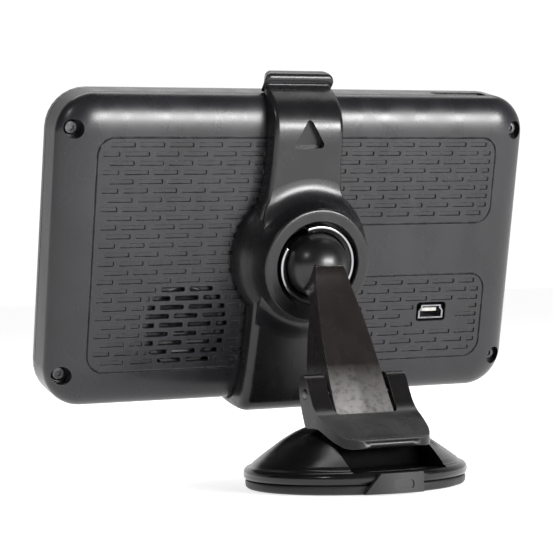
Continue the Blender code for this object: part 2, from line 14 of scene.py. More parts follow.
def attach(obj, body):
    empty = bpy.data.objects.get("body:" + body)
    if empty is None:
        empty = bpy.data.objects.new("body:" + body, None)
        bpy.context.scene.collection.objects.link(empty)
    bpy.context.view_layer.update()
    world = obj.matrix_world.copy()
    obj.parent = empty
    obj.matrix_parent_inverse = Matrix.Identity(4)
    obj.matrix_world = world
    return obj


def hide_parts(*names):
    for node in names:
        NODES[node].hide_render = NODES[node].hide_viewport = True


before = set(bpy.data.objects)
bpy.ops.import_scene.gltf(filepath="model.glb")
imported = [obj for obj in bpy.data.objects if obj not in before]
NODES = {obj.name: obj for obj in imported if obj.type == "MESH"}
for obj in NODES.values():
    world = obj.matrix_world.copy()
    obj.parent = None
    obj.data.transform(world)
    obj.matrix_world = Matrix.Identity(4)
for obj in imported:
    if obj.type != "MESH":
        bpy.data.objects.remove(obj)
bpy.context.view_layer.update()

MM = 0.001
BALL = Vector((0.0, -19.4, 56.7))
LEAN = math.radians(-14.0)
DEVICE = Matrix.Translation(BALL * MM) @ Matrix.Rotation(LEAN, 4, "X")
WORLD = Matrix.Identity(4)
TO_Y = Matrix.Rotation(math.radians(-90.0), 4, "X")
FACE = Matrix.Rotation(math.radians(90.0), 4, "X")
SIDE = Matrix(((0, 0, 1, 0), (1, 0, 0, 0), (0, 1, 0, 0), (0, 0, 0, 1)))

HALF_W = 68.5
CASE_CZ = 1.4
Z_LOW = CASE_CZ - 41.5
Z_HIGH = CASE_CZ + 41.5
BACK_Y = -10.9
SEAM_Y = -22.75
CORNER_R = 10.6
SHOULDER_W = 10.3
SHOULDER_D = 5.4
WALL = 1.8
WELL_X = 64.6
WELL_DZ = 32.4
WELL_Y = -16.2
SPEAKER = (31.4, -18.1)
SPEAKER_R = 12.1
PITCH_X = 8.1
PITCH_Z = 2.4
DASH_L = 6.8
DASH_H = 1.25
USB = (-42.4, -17.1)
CARD_Z = -20.9
CARD_Y = -17.1
KEY_X = -49.0
KEY_Y = -18.2
STRAP_Y = -5.4
COLLAR_Y = 1.8
BORE_R = 11.6
CLEAR = 0.3
STRAP_X = 1.6                  # offset of the upper part of the strap
STRAP_ROUND = 1.5              # rounding of its long edges
STRAP_ROUNDER = 1.3            # more rounding at its lower end
BOSS_STEPS = 96
BALL_R = 8.5
CAVITY_R = 9.8
PIN_R = 1.38
PIN_Y = 1.6
PIN_Z = 23.7
STEM_R = 3.9
LEVER_X = 8.9                  # half width between the prongs
NOTCH_X = 12.9
CUP_STEPS = 128


# ---- mesh helpers --------------------------------------------------------------------
def link(name, form):
    shape = bpy.data.meshes.new(name)
    bmesh.ops.recalc_face_normals(form, faces=form.faces)
    form.to_mesh(shape)
    form.free()
    thing = bpy.data.objects.new(name, shape)
    bpy.context.scene.collection.objects.link(thing)
    return thing


def bake(thing):
    """Turn a shape with modifiers into a plain mesh drawn about the origin."""
    bpy.context.view_layer.update()
    graph = bpy.context.evaluated_depsgraph_get()
    shape = bpy.data.meshes.new_from_object(thing.evaluated_get(graph))
    shape.transform(thing.matrix_world)
    form = bmesh.new()
    form.from_mesh(shape)
    bmesh.ops.remove_doubles(form, verts=form.verts, dist=0.000001)
    bmesh.ops.dissolve_degenerate(form, edges=form.edges, dist=0.0000005)
    form.to_mesh(shape)
    form.free()
    name = thing.name
    bpy.data.objects.remove(thing, do_unlink=True)
    plain = bpy.data.objects.new(name, shape)
    bpy.context.scene.collection.objects.link(plain)
    return plain


def cut(thing, cutter, operation="DIFFERENCE"):
    step = thing.modifiers.new("cut", "BOOLEAN")
    step.operation = operation
    step.solver = "EXACT"
    step.object = cutter
    done = bake(thing)
    bpy.data.objects.remove(cutter, do_unlink=True)
    return done


def soften(thing, width, segments=3, degrees=35.0):
    step = thing.modifiers.new("soft_edges", "BEVEL")
    step.width = width * MM
    step.segments = segments
    step.limit_method = "ANGLE"
    step.angle_limit = math.radians(degrees)
    step.use_clamp_overlap = True
    return bake(thing)


def block(name, low, high, rounds=()):
    """A box from low to high; rounds lists (kind, axis, radius, segments)."""
    form = bmesh.new()
    bmesh.ops.create_cube(form, size=1.0)
    low = Vector(low) * MM
    high = Vector(high) * MM
    for vert in form.verts:
        for k in range(3):
            vert.co[k] = low[k] + (vert.co[k] + 0.5) * (high[k] - low[k])
    for kind, axis, radius, segments in rounds:
        k = "xyz".index(axis)
        chosen = []
        for edge in form.edges:
            a, b = (v.co for v in edge.verts)
            along = all(abs(a[j] - b[j]) < 1e-7 for j in range(3) if j != k)
            if kind == "along" and along:
                chosen.append(edge)
            level = high[k] if kind == "high" else low[k]
            if kind != "along" and abs(a[k] - level) < 1e-7 and abs(b[k] - level) < 1e-7:
                chosen.append(edge)
        bmesh.ops.bevel(form, geom=chosen, offset=radius * MM, segments=segments,
                        profile=0.5, affect="EDGES", clamp_overlap=True)
    return link(name, form)


def rolled(name, low, high, corner, width, depth, steps, corner_steps):
    """A box with round corners whose rear edge rolls off over an ellipse."""
    stretch = width - depth
    thing = block(name, low, (high[0], high[1] + stretch, high[2]),
                  [("along", "y", corner, corner_steps), ("high", "y", width, steps)])
    level = (high[1] + stretch - width) * MM
    for vert in thing.data.vertices:
        if vert.co.y > level:
            vert.co.y = level + (vert.co.y - level) * depth / width
    return thing


def turned(name, profile, place=WORLD, steps=96, closed=False):
    """A lathe shape from (radius, height) points about the local Z axis."""
    form = bmesh.new()
    row = [form.verts.new((r * MM, 0.0, h * MM)) for r, h in profile]
    for a, b in zip(row[:-1], row[1:]):
        form.edges.new((a, b))
    if closed:
        form.edges.new((row[-1], row[0]))
    bmesh.ops.spin(form, geom=form.verts[:] + form.edges[:], axis=(0, 0, 1), cent=(0, 0, 0),
                   steps=steps, angle=math.tau, use_merge=True)
    bmesh.ops.remove_doubles(form, verts=form.verts, dist=0.000001)
    bmesh.ops.dissolve_degenerate(form, edges=form.edges, dist=0.0000005)
    bmesh.ops.transform(form, matrix=place, verts=form.verts)
    return link(name, form)


def plate(name, outline, low, high, view=WORLD):
    """A closed outline given thickness along its view axis, from low to high."""
    if view is FACE:
        low, high = -high, -low
    form = bmesh.new()
    ends = []
    for level in (low, high):
        ends.append([form.verts.new((a * MM, b * MM, level * MM)) for a, b in outline])
    form.faces.new(list(reversed(ends[0])))
    form.faces.new(ends[1])
    count = len(outline)
    for k in range(count):
        j = (k + 1) % count
        form.faces.new((ends[0][k], ends[0][j], ends[1][j], ends[1][k]))
    bmesh.ops.transform(form, matrix=view, verts=form.verts)
    return link(name, form)


def mirrored(half):
    return list(half) + [(-x, z) for x, z in reversed(half)]


def arc(cx, cy, radius, start, end, count):
    turns = [math.radians(start + (end - start) * k / count) for k in range(count + 1)]
    return [(cx + radius * math.cos(t), cy + radius * math.sin(t)) for t in turns]


def flowing(points, per=6, closed=False):
    """A smooth line through the points, as many short steps."""
    count = len(points)
    spans = count if closed else count - 1
    line = []
    for k in range(spans):
        if closed:
            p = [points[(k + j) % count] for j in (-1, 0, 1, 2)]
        else:
            p = [points[min(max(k + j, 0), count - 1)] for j in (-1, 0, 1, 2)]
        for step in range(per):
            t = step / per
            spot = []
            for a, b, c, d in zip(*p):
                spot.append(0.5 * (2 * b + (c - a) * t + (2 * a - 5 * b + 4 * c - d) * t * t
                                   + (3 * b - a - 3 * c + d) * t ** 3))
            line.append(tuple(spot))
    if not closed:
        line.append(points[-1])
    return line


def round_rect(x0, x1, z0, z1, radius, count=6):
    points = arc(x1 - radius, z1 - radius, radius, 0, 90, count)
    points += arc(x0 + radius, z1 - radius, radius, 90, 180, count)
    points += arc(x0 + radius, z0 + radius, radius, 180, 270, count)
    points += arc(x1 - radius, z0 + radius, radius, 270, 360, count)
    return points


def add_pocket(form, x0, x1, z0, z1, levels, radius, count=2):
    """A closed pocket cutter in a face that looks to +Y; levels lists (y, inset)."""
    rings = []
    for y, inset in levels:
        r = max(radius - inset, 0.05)
        line = round_rect(x0 + inset, x1 - inset, z0 + inset, z1 - inset, r, count)
        rings.append([form.verts.new((x * MM, y * MM, z * MM)) for x, z in line])
    form.faces.new(rings[0])
    form.faces.new(list(reversed(rings[-1])))
    for low, high in zip(rings[:-1], rings[1:]):
        for k in range(len(low)):
            j = (k + 1) % len(low)
            form.faces.new((low[k], low[j], high[j], high[k]))


def add_groove(form, line, half_width, depth):
    """A V groove cutter along a closed line in the back face."""
    count = len(line)
    section = [(-half_width, 0.0), (0.0, -depth), (half_width, 0.0), (half_width, 0.6),
               (-half_width, 0.6)]
    rings = []
    for k, (x, z) in enumerate(line):
        ax, az = line[k - 1]
        bx, bz = line[(k + 1) % count]
        away = Vector((bz - az, ax - bx)).normalized()
        rings.append([form.verts.new(((x + away.x * d) * MM, (BACK_Y + y) * MM,
                                      (z + away.y * d) * MM)) for d, y in section])
    for k in range(count):
        here, there = rings[k], rings[(k + 1) % count]
        for m in range(len(section)):
            n = (m + 1) % len(section)
            form.faces.new((here[m], there[m], there[n], here[n]))


def add_drum(form, x, z, radius, y0, y1, flare=0.0, count=40):
    """A round cutter along Y, opening out by flare at its rear end."""
    rings = []
    for y, r in ((y0, radius), (y1 - 1.0, radius), (y1, radius + flare)):
        spots = arc(x, z, r, 0, 360, count)[:-1]
        rings.append([form.verts.new((a * MM, y * MM, b * MM)) for a, b in spots])
    form.faces.new(rings[0])
    form.faces.new(list(reversed(rings[-1])))
    for low, high in zip(rings[:-1], rings[1:]):
        for k in range(count):
            j = (k + 1) % count
            form.faces.new((low[k], low[j], high[j], high[k]))


def rod(name, radius, start, end):
    """A round cutter between two points."""
    a = Vector(start) * MM
    b = Vector(end) * MM
    form = bmesh.new()
    bmesh.ops.create_cone(form, cap_ends=True, cap_tris=False, segments=40,
                          radius1=radius * MM, radius2=radius * MM, depth=(b - a).length)
    turn = Vector((0.0, 0.0, 1.0)).rotation_difference(b - a).to_matrix().to_4x4()
    bmesh.ops.transform(form, matrix=Matrix.Translation((a + b) * 0.5) @ turn,
                        verts=form.verts)
    return link(name, form)


# ---- materials -----------------------------------------------------------------------
def finish(name, deep, pale, rough, spread=0.06, blotch=22.0, grain=0.35, depth=0.010,
           wear=None, metallic=0.0, specular=0.5, coat=0.0, coat_rough=0.1, streaks=0.0,
           painted_reflection=None):
    """A moulded, drawn or painted surface with its mottling, grain, wear and smudges, and where
    asked a painted reflection: a lighter patch low on the part.
    """
    made = bpy.data.materials.new(name)
    made.use_nodes = True
    tree = made.node_tree
    add = tree.nodes.new
    join = tree.links.new
    shader = tree.nodes["Principled BSDF"]
    shader.inputs["Metallic"].default_value = metallic
    shader.inputs["Specular IOR Level"].default_value = specular
    shader.inputs["Coat Weight"].default_value = coat
    shader.inputs["Coat Roughness"].default_value = coat_rough
    place = add("ShaderNodeTexCoord")

    def noise(size, detail, stretch=None):
        node = add("ShaderNodeTexNoise")
        node.inputs["Scale"].default_value = 1.0 / (size * MM)
        node.inputs["Detail"].default_value = detail
        if stretch:
            lay = add("ShaderNodeMapping")
            lay.inputs["Scale"].default_value = stretch
            join(place.outputs["Object"], lay.inputs["Vector"])
            join(lay.outputs["Vector"], node.inputs["Vector"])
        else:
            join(place.outputs["Object"], node.inputs["Vector"])
        return node

    def blend(factor, low, high):
        node = add("ShaderNodeMix")
        node.data_type = "RGBA"
        join(factor, node.inputs[0])
        for socket, value in ((node.inputs[6], low), (node.inputs[7], high)):
            if isinstance(value, tuple):
                socket.default_value = (*value, 1.0)
            else:
                join(value, socket)
        return node.outputs[2]

    def spread_out(source, low, high, out_low, out_high):
        node = add("ShaderNodeMapRange")
        join(source, node.inputs["Value"])
        for key, value in (("From Min", low), ("From Max", high), ("To Min", out_low),
                           ("To Max", out_high)):
            node.inputs[key].default_value = value
        return node.outputs["Result"]

    mottle = spread_out(noise(blotch, 5.0).outputs["Fac"], 0.35, 0.65, 0.0, 1.0)
    colour = blend(mottle, deep, pale)
    if wear:
        shape = add("ShaderNodeNewGeometry")
        worn = add("ShaderNodeBevel")
        worn.samples = 4
        worn.inputs["Radius"].default_value = 0.35 * MM
        turn = add("ShaderNodeVectorMath")
        turn.operation = "DOT_PRODUCT"
        join(worn.outputs["Normal"], turn.inputs[0])
        join(shape.outputs["Normal"], turn.inputs[1])
        edge = spread_out(turn.outputs["Value"], 0.985, 0.86, 0.0, 0.45)
        rub = spread_out(noise(2.4, 4.0).outputs["Fac"], 0.40, 0.62, 0.0, 1.0)
        both = add("ShaderNodeMath")
        both.operation = "MULTIPLY"
        join(edge, both.inputs[0])
        join(rub, both.inputs[1])
        colour = blend(both.outputs["Value"], colour, wear)
    # painted reflection: a lighter tone blended in towards the lower end of the part between the
    # given heights, stronger on its +X side and broken up by noise; it is light reflected off the
    # arm, painted into its colour
    if painted_reflection:
        tone, low, high = painted_reflection
        parts = add("ShaderNodeSeparateXYZ")
        join(place.outputs["Object"], parts.inputs["Vector"])
        height = spread_out(parts.outputs["Z"], high * MM, low * MM, 0.0, 1.0)
        side = spread_out(parts.outputs["X"], -0.6 * MM, 0.6 * MM, 0.62, 1.0)
        reflection_breakup = spread_out(noise(1.6, 6.0).outputs["Fac"], 0.30, 0.52, 0.45, 1.0)
        for more in (side, reflection_breakup):
            both = add("ShaderNodeMath")
            both.operation = "MULTIPLY"
            join(height, both.inputs[0])
            join(more, both.inputs[1])
            height = both.outputs["Value"]
        colour = blend(height, colour, tone)
    join(colour, shader.inputs["Base Color"])
    smudge = noise(7.0, 6.0, (1.0, 1.0, 0.45))
    join(spread_out(smudge.outputs["Fac"], 0.3, 0.7, rough - spread, rough + spread),
         shader.inputs["Roughness"])
    fine = noise(grain, 2.0)
    bump = add("ShaderNodeBump")
    bump.inputs["Strength"].default_value = 1.0
    bump.inputs["Distance"].default_value = depth * MM
    join(fine.outputs["Fac"], bump.inputs["Height"])
    last = bump
    if streaks:
        brush = noise(0.5, 3.0, (0.06, 1.0, 1.0))
        lines = add("ShaderNodeBump")
        lines.inputs["Strength"].default_value = 1.0
        lines.inputs["Distance"].default_value = streaks * MM
        join(brush.outputs["Fac"], lines.inputs["Height"])
        join(bump.outputs["Normal"], lines.inputs["Normal"])
        last = lines
    join(last.outputs["Normal"], shader.inputs["Normal"])
    return made


SHELL = finish("shell_satin", (0.011, 0.0105, 0.012), (0.016, 0.0155, 0.018), 0.29,
               wear=(0.12, 0.12, 0.13), grain=0.30, depth=0.006)
BEZEL = finish("bezel_gloss", (0.010, 0.010, 0.012), (0.016, 0.016, 0.018), 0.20,
               wear=(0.06, 0.06, 0.06), grain=0.6, depth=0.002, coat=0.3)
GLASS = finish("screen_glass", (0.004, 0.0045, 0.006), (0.006, 0.007, 0.009), 0.05, spread=0.03,
               grain=4.0, depth=0.001, specular=0.6, coat=0.6, coat_rough=0.03)
CRADLE = finish("cradle_satin", (0.006, 0.006, 0.007), (0.010, 0.010, 0.011), 0.27,
                wear=(0.10, 0.10, 0.11), grain=0.5, depth=0.004)
RING = finish("ring_polished", (0.34, 0.34, 0.35), (0.46, 0.46, 0.47), 0.15, spread=0.05,
              metallic=1.0, grain=0.8, depth=0.002, wear=(0.6, 0.6, 0.6))
BALL_GLOSS = finish("ball_polished", (0.005, 0.005, 0.005), (0.008, 0.0075, 0.0075), 0.34,
                    spread=0.05, grain=1.2, depth=0.002, coat=0.1, coat_rough=0.25)
# the arm's lighter lower end (fading in below 31 mm, full below 19 mm) is a painted reflection,
# not wear
ARM = finish("arm_satin", (0.010, 0.008, 0.0075), (0.015, 0.012, 0.0115), 0.26,
             wear=(0.14, 0.13, 0.13), grain=0.45, depth=0.004,
             painted_reflection=((0.26, 0.25, 0.25), 19.0, 31.0))
LEVER = finish("lever_satin", (0.006, 0.0055, 0.0055), (0.010, 0.009, 0.009), 0.27,
               wear=(0.13, 0.13, 0.13), grain=0.5, depth=0.004, specular=0.3)
DOME = finish("dome_gloss", (0.003, 0.003, 0.0035), (0.006, 0.006, 0.0065), 0.22,
              wear=(0.06, 0.06, 0.06), grain=0.5, depth=0.003)
RUBBER = finish("cup_rubber", (0.013, 0.0125, 0.012), (0.021, 0.020, 0.020), 0.46, spread=0.1,
                grain=0.25, depth=0.012, wear=(0.09, 0.09, 0.09), specular=0.3)
SCREW = finish("screw_zinc", (0.05, 0.05, 0.052), (0.14, 0.14, 0.145), 0.34, metallic=1.0,
               grain=0.2, depth=0.004, blotch=1.5)
STEEL = finish("pressed_steel", (0.50, 0.50, 0.52), (0.66, 0.66, 0.68), 0.26, metallic=1.0,
               grain=0.3, depth=0.003, blotch=3.0, streaks=0.003)
USB_METAL = finish("usb_tin", (0.16, 0.16, 0.165), (0.28, 0.28, 0.29), 0.32, metallic=1.0,
                   grain=0.3, depth=0.003, blotch=3.0)
SEAT = finish("seat_plastic", (0.05, 0.05, 0.05), (0.08, 0.08, 0.08), 0.5)
TONGUE = finish("tongue_plastic", (0.42, 0.41, 0.38), (0.55, 0.54, 0.50), 0.45, blotch=2.0)
BOARD = finish("board_mask", (0.012, 0.085, 0.035), (0.02, 0.12, 0.05), 0.4, blotch=6.0)
CHIP = finish("chip_epoxy", (0.016, 0.016, 0.018), (0.028, 0.028, 0.03), 0.5, blotch=4.0)
CERAMIC = finish("patch_ceramic", (0.48, 0.44, 0.37), (0.58, 0.53, 0.45), 0.55, blotch=4.0)
CELL = finish("cell_wrap", (0.30, 0.31, 0.33), (0.40, 0.41, 0.43), 0.35, blotch=8.0)
FILM = finish("ribbon_film", (0.40, 0.19, 0.03), (0.50, 0.25, 0.05), 0.3, blotch=5.0)
FOAM = finish("gasket_foam", (0.02, 0.02, 0.02), (0.04, 0.04, 0.04), 0.9, grain=0.3, depth=0.05)
PANEL = finish("display_layer", (0.03, 0.033, 0.036), (0.05, 0.053, 0.058), 0.2, blotch=30.0)


def dress(thing, look, body, place=WORLD, nodes=(), degrees=30.0):
    thing.data.transform(place)
    thing.data.materials.clear()
    thing.data.materials.append(look)
    for face in thing.data.polygons:
        face.use_smooth = True
    thing.data.set_sharp_from_angle(angle=math.radians(degrees))
    even = thing.modifiers.new("even_shading", "WEIGHTED_NORMAL")
    even.keep_sharp = True
    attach(thing, body)
    if nodes:
        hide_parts(*nodes)
    return thing


# ---- rear shell ----------------------------------------------------------------------
shell = rolled("shell_back", (-HALF_W, SEAM_Y + 0.15, Z_LOW), (HALF_W, BACK_Y, Z_HIGH),
               CORNER_R, SHOULDER_W, SHOULDER_D, 20, 20)
hollow = rolled("shell_hollow", (-HALF_W + WALL, SEAM_Y - 4.0, Z_LOW + WALL),
                (HALF_W - WALL, BACK_Y - WALL, Z_HIGH - WALL), CORNER_R - WALL,
                SHOULDER_W - WALL, SHOULDER_D - 0.6, 6, 6)
posts = bmesh.new()
corners = [(sx * WELL_X, CASE_CZ + sz * WELL_DZ) for sz in (1, -1) for sx in (1, -1)]
for wx, wz in corners:
    add_drum(posts, wx, wz, 3.9, SEAM_Y - 6.0, BACK_Y + 2.0, count=24)
hollow = cut(hollow, link("posts", posts))
shell = cut(shell, hollow)

form = bmesh.new()
for wx, wz in corners:
    add_drum(form, wx, wz, 2.5, WELL_Y, BACK_Y + 2.0)
panels = [(4.0, 58.4, -30.25, 31.8), (-58.4, -4.0, 8.0, 31.8), (-58.4, -4.0, -30.25, -6.5)]
for x0, x1, z0, z1 in panels:
    add_groove(form, round_rect(x0, x1, z0, z1, 4.6, 8), 0.30, 0.34)
DASH_LEVELS = ((BACK_Y - 0.42, 0.16), (BACK_Y - 0.08, 0.06), (BACK_Y, -0.02), (BACK_Y + 0.6, -0.5))
SLOT_LEVELS = ((BACK_Y - 3.0, 0.0), (BACK_Y - 0.12, 0.0), (BACK_Y, -0.10), (BACK_Y + 0.6, -0.5))
for x0, x1, z0, z1 in panels:
    for row in range(-6, 22):
        z = SPEAKER[1] + row * PITCH_Z
        if z - DASH_H / 2 < z0 + 1.1 or z + DASH_H / 2 > z1 - 1.1:
            continue
        shift = 0.0 if row % 2 else PITCH_X / 2
        for k in range(-14, 6):
            middle = SPEAKER[0] + k * PITCH_X + shift
            left = max(middle - DASH_L / 2, x0 + 1.5)
            right = min(middle + DASH_L / 2, x1 - 1.5)
            near_end = min(z - z0, z1 - z)
            if near_end < 3.0:
                left = max(left, x0 + 3.0)
                right = min(right, x1 - 3.0)
            if right - left < 1.7 or abs(middle) < 8.0:
                continue
            if left < USB[0] + 5.6 and right > USB[0] - 5.6 and abs(z - USB[1]) < 3.4:
                continue
            reach = SPEAKER_R ** 2 - (row * PITCH_Z) ** 2
            inner = None
            if x0 > 0 and abs(row) <= 4 and reach > 0:
                reach = math.sqrt(reach)
                low = max(left, SPEAKER[0] - reach)
                high = min(right, SPEAKER[0] + reach)
                if high - low > 1.6:
                    inner = (low, high)
            if inner:
                add_pocket(form, inner[0], inner[1], z - DASH_H / 2, z + DASH_H / 2,
                           SLOT_LEVELS, 0.45)
                if inner[0] - left > 1.7:
                    add_pocket(form, left, inner[0] - 0.7, z - DASH_H / 2, z + DASH_H / 2,
                               DASH_LEVELS, 0.3)
                if right - inner[1] > 1.7:
                    add_pocket(form, inner[1] + 0.7, right, z - DASH_H / 2, z + DASH_H / 2,
                               DASH_LEVELS, 0.3)
            else:
                add_pocket(form, left, right, z - DASH_H / 2, z + DASH_H / 2, DASH_LEVELS, 0.3)
add_pocket(form, USB[0] - 4.5, USB[0] + 4.5, USB[1] - 2.6, USB[1] + 2.6,
           ((BACK_Y - 3.0, 0.0), (BACK_Y - 0.15, 0.0), (BACK_Y, -0.15), (BACK_Y + 0.6, -0.6)), 0.8)
shell = cut(shell, link("shell_openings", form))
card_hole = block("card_hole", (-HALF_W - 1.0, CARD_Y - 0.95, CARD_Z - 6.0),
                  (-HALF_W + 3.0, CARD_Y + 0.95, CARD_Z + 6.0), [("along", "x", 0.5, 3)])
shell = cut(shell, card_hole)
scoop = block("card_scoop", (-HALF_W - 2.0, CARD_Y - 3.4, CARD_Z - 7.2),
              (-HALF_W + 0.7, CARD_Y + 4.4, CARD_Z + 7.2), [("along", "x", 2.2, 5)])
shell = cut(shell, scoop)
key_hole = block("key_hole", (KEY_X - 8.0, KEY_Y - 2.4, Z_HIGH - 3.0),
                 (KEY_X + 8.0, KEY_Y + 2.4, Z_HIGH + 1.0), [("along", "z", 1.2, 4)])
shell = cut(shell, key_hole)
dress(shell, SHELL, "device", DEVICE, ["rear_shell"])


# ---- cradle --------------------------------------------------------------------------
# Stations along the strap: outer y, outer z, inner y, inner z, and how far its end draws in.
stations = [(-23.5, -42.1, -23.5, -40.4, 0.6), (-16.3, -42.1, -16.3, -40.4, 0.2),
            (-9.6, -42.1, -14.56, -39.89, 0.0), (-7.3, -41.3, -13.71, -39.25, 0.0),
            (-5.8, -39.5, -12.94, -38.36, 0.0), (-5.4, -37.2, -12.01, -36.79, 0.0),
            (-5.4, -33.03, -10.87, -33.03, 0.0), (-5.4, -28.0, -10.6, -28.0, 0.0),
            (-5.4, -20.0, -10.6, -20.0, 0.0), (-5.4, -8.0, -10.6, -8.0, 0.0),
            (-5.4, 3.0, -10.6, 3.0, 0.0), (-5.4, 9.0, -10.6, 9.0, 0.0),
            (-5.4, 13.0, -10.6, 13.0, 0.0), (-5.4, 16.0, -10.6, 16.0, 0.0),
            (-5.4, 19.0, -10.6, 19.0, 0.0), (-5.4, 23.0, -10.6, 23.0, 0.0),
            (-5.4, 28.0, -10.6, 28.0, 0.0), (-5.4, 32.6, -10.6, 32.6, 0.0),
            (-5.9, 36.0, -10.87, 35.83, 0.0), (-7.2, 39.0, -11.69, 38.84, 0.0),
            (-9.2, 41.4, -12.58, 40.63, 0.0), (-12.1, 43.5, -14.2, 42.44, 0.1),
            (-14.3, 44.8, -15.4, 43.04, 0.35), (-14.8, 45.5, -15.9, 43.16, 0.4),
            (-14.2, 46.1, -16.3, 43.2, 0.15), (-13.8, 47.0, -16.7, 43.2, 0.0),
            (-14.1, 48.0, -17.1, 43.2, 0.15), (-15.2, 48.62, -17.5, 43.2, 0.6),
            (-17.3, 48.7, -17.9, 43.2, 1.1), (-18.3, 48.0, -18.3, 43.2, 1.5),
            (-18.6, 46.6, -18.8, 43.2, 2.0), (-19.1, 45.0, -19.3, 43.2, 2.8),
            (-22.0, 45.0, -22.0, 43.2, 3.3)]
widths = flowing([(-43.0, 15.4, 0.0), (-38.0, 15.4, 0.0), (-28.0, 14.8, 0.0), (-14.0, 14.3, 0.0),
                  (-5.0, 14.6, 0.0), (8.0, 14.6, 0.3), (13.6, 13.1, 0.9), (15.4, 11.9, 1.2),
                  (17.6, 11.0, 1.5), (20.5, 10.5, STRAP_X), (25.0, 10.2, STRAP_X),
                  (32.0, 10.1, STRAP_X), (50.0, 10.0, STRAP_X)], 6)


def strap_at(z):
    """Half width and middle of the strap at a height."""
    for (z0, w0, m0), (z1, w1, m1) in zip(widths[:-1], widths[1:]):
        if z0 <= z <= z1:
            t = (z - z0) / (z1 - z0)
            return w0 + t * (w1 - w0), m0 + t * (m1 - m0)
    return widths[0][1:] if z < widths[0][0] else widths[-1][1:]


form = bmesh.new()
rings = []
for y, z, inner_y, inner_z, draw in flowing(stations, 5):
    half, middle = strap_at(z)
    half -= draw
    inward = Vector((inner_y - y, inner_z - z))
    thick = inward.length
    inward.normalize()
    rounder = min(max((-6.0 - z) / 16.0, 0.0), 1.0)
    r = min(STRAP_ROUND + STRAP_ROUNDER * rounder, 0.5 * thick)
    small = min(0.35, 0.2 * thick)
    section = [(-half + small, thick), (-half, thick - small)]
    for k in range(7):
        turn = math.radians(90.0 * k / 6)
        section.append((-half + r - r * math.cos(turn), r - r * math.sin(turn)))
    section += [(-x, d) for x, d in reversed(section)]
    rings.append([form.verts.new(((middle + x) * MM, (y + inward.x * d) * MM,
                                  (z + inward.y * d) * MM)) for x, d in section])
form.faces.new(rings[0])
form.faces.new(list(reversed(rings[-1])))
for low, high in zip(rings[:-1], rings[1:]):
    for k in range(len(low)):
        j = (k + 1) % len(low)
        form.faces.new((low[k], low[j], high[j], high[k]))
cradle = link("cradle_body", form)
root = turned("boss_root", [(12.0, 0.0), (15.35, 0.0), (15.45, -0.8), (15.9, -2.1), (16.7, -3.4),
                            (17.9, -4.4), (19.3, -5.0), (20.6, -5.28), (21.8, -5.38),
                            (22.4, -6.4), (12.0, -6.4)], TO_Y, BOSS_STEPS, closed=True)
edge_line = [(middle + half - 0.9, z) for z, half, middle in widths]
edge_line += [(middle - half + 0.9, z) for z, half, middle in reversed(widths)]
root = cut(root, plate("root_limit", edge_line, -12.0, 6.0, FACE), "INTERSECT")
cradle = cut(cradle, root, "UNION")
boss_profile = [(0.0, COLLAR_Y), (13.6, COLLAR_Y), (14.4, COLLAR_Y + 0.0), (14.9, COLLAR_Y - 0.15),
                (15.15, COLLAR_Y - 0.45), (15.25, COLLAR_Y - 0.9)]
boss_profile += flowing([(15.3, 0.4), (15.7, -1.2), (16.5, -3.2), (17.6, -5.2), (18.7, -7.0),
                         (19.4, -8.6), (19.6, -9.6), (19.6, BACK_Y + CLEAR)], 4)
boss_profile += [(0.0, BACK_Y + CLEAR)]
cradle = cut(cradle, turned("boss", boss_profile, TO_Y, BOSS_STEPS), "UNION")
pocket_low = plate("lower_pocket", mirrored([(13.0, -37.0), (12.6, -28.0), (12.0, -20.2)]),
                   BACK_Y - 2.0, STRAP_Y - 2.0, FACE)
cradle = cut(cradle, pocket_low)
pocket_line = [(STRAP_X + x, z) for x, z in mirrored([(8.2, 20.2), (7.7, 24.0), (7.7, 37.0)])]
pocket_top = plate("upper_pocket", pocket_line, BACK_Y - 2.0, STRAP_Y - 3.4, FACE)
cradle = cut(cradle, pocket_top)
bowl = [(0.0, 4.0), (BORE_R + 2.35, 4.0), (BORE_R + 0.35, COLLAR_Y + 0.02),
        (BORE_R + 0.1, COLLAR_Y - 0.2), (BORE_R, COLLAR_Y - 0.5), (BORE_R, -3.4)]
bowl += [(CAVITY_R * math.cos(math.radians(a)), -CAVITY_R * math.sin(math.radians(a)))
         for a in (20.3, 28, 36, 44, 52, 60, 68, 79)]
bowl += [(0.0, -CAVITY_R)]
cradle = cut(cradle, turned("bowl", bowl, TO_Y, BOSS_STEPS))
mark_line = arc(STRAP_X, 36.3, 0.95, 150, 30, 5) + arc(STRAP_X + 3.3, 30.8, 0.95, 30, -90, 5)
mark_line += arc(STRAP_X - 3.3, 30.8, 0.95, 270, 150, 5)
mark_line = list(reversed(mark_line))
mark = plate("triangle_mark", mark_line, STRAP_Y - 2.4, STRAP_Y + 2.0, FACE)
cradle = cut(cradle, mark)
dress(cradle, CRADLE, "device", DEVICE, ["cradle_bracket"], 34.0)


# ---- ball socket and arm -------------------------------------------------------------
ring_profile = [(9.75, 1.62), (9.95, 1.74), (10.3, 1.74), (10.55, 1.62), (10.7, 1.35),
                (10.7, -2.9), (9.9, -3.1), (9.3, -2.6), (8.8, -1.5), (8.75, 0.5), (9.0, 0.95),
                (9.5, 1.15), (9.62, 1.3)]
ring = turned("socket_ring", ring_profile, TO_Y, 120, closed=True)
gap_line = [(0.0, 0.0)] + arc(0.0, 0.0, 15.0, 27, 69, 3)
gap = plate("ring_gap", gap_line, -6.0, 6.0, FACE)
ring = cut(ring, gap)
ring = soften(ring, 0.12, 2, 50.0)
dress(ring, RING, "tilt_ring", DEVICE, ["socket_spring_ring"], 40.0)

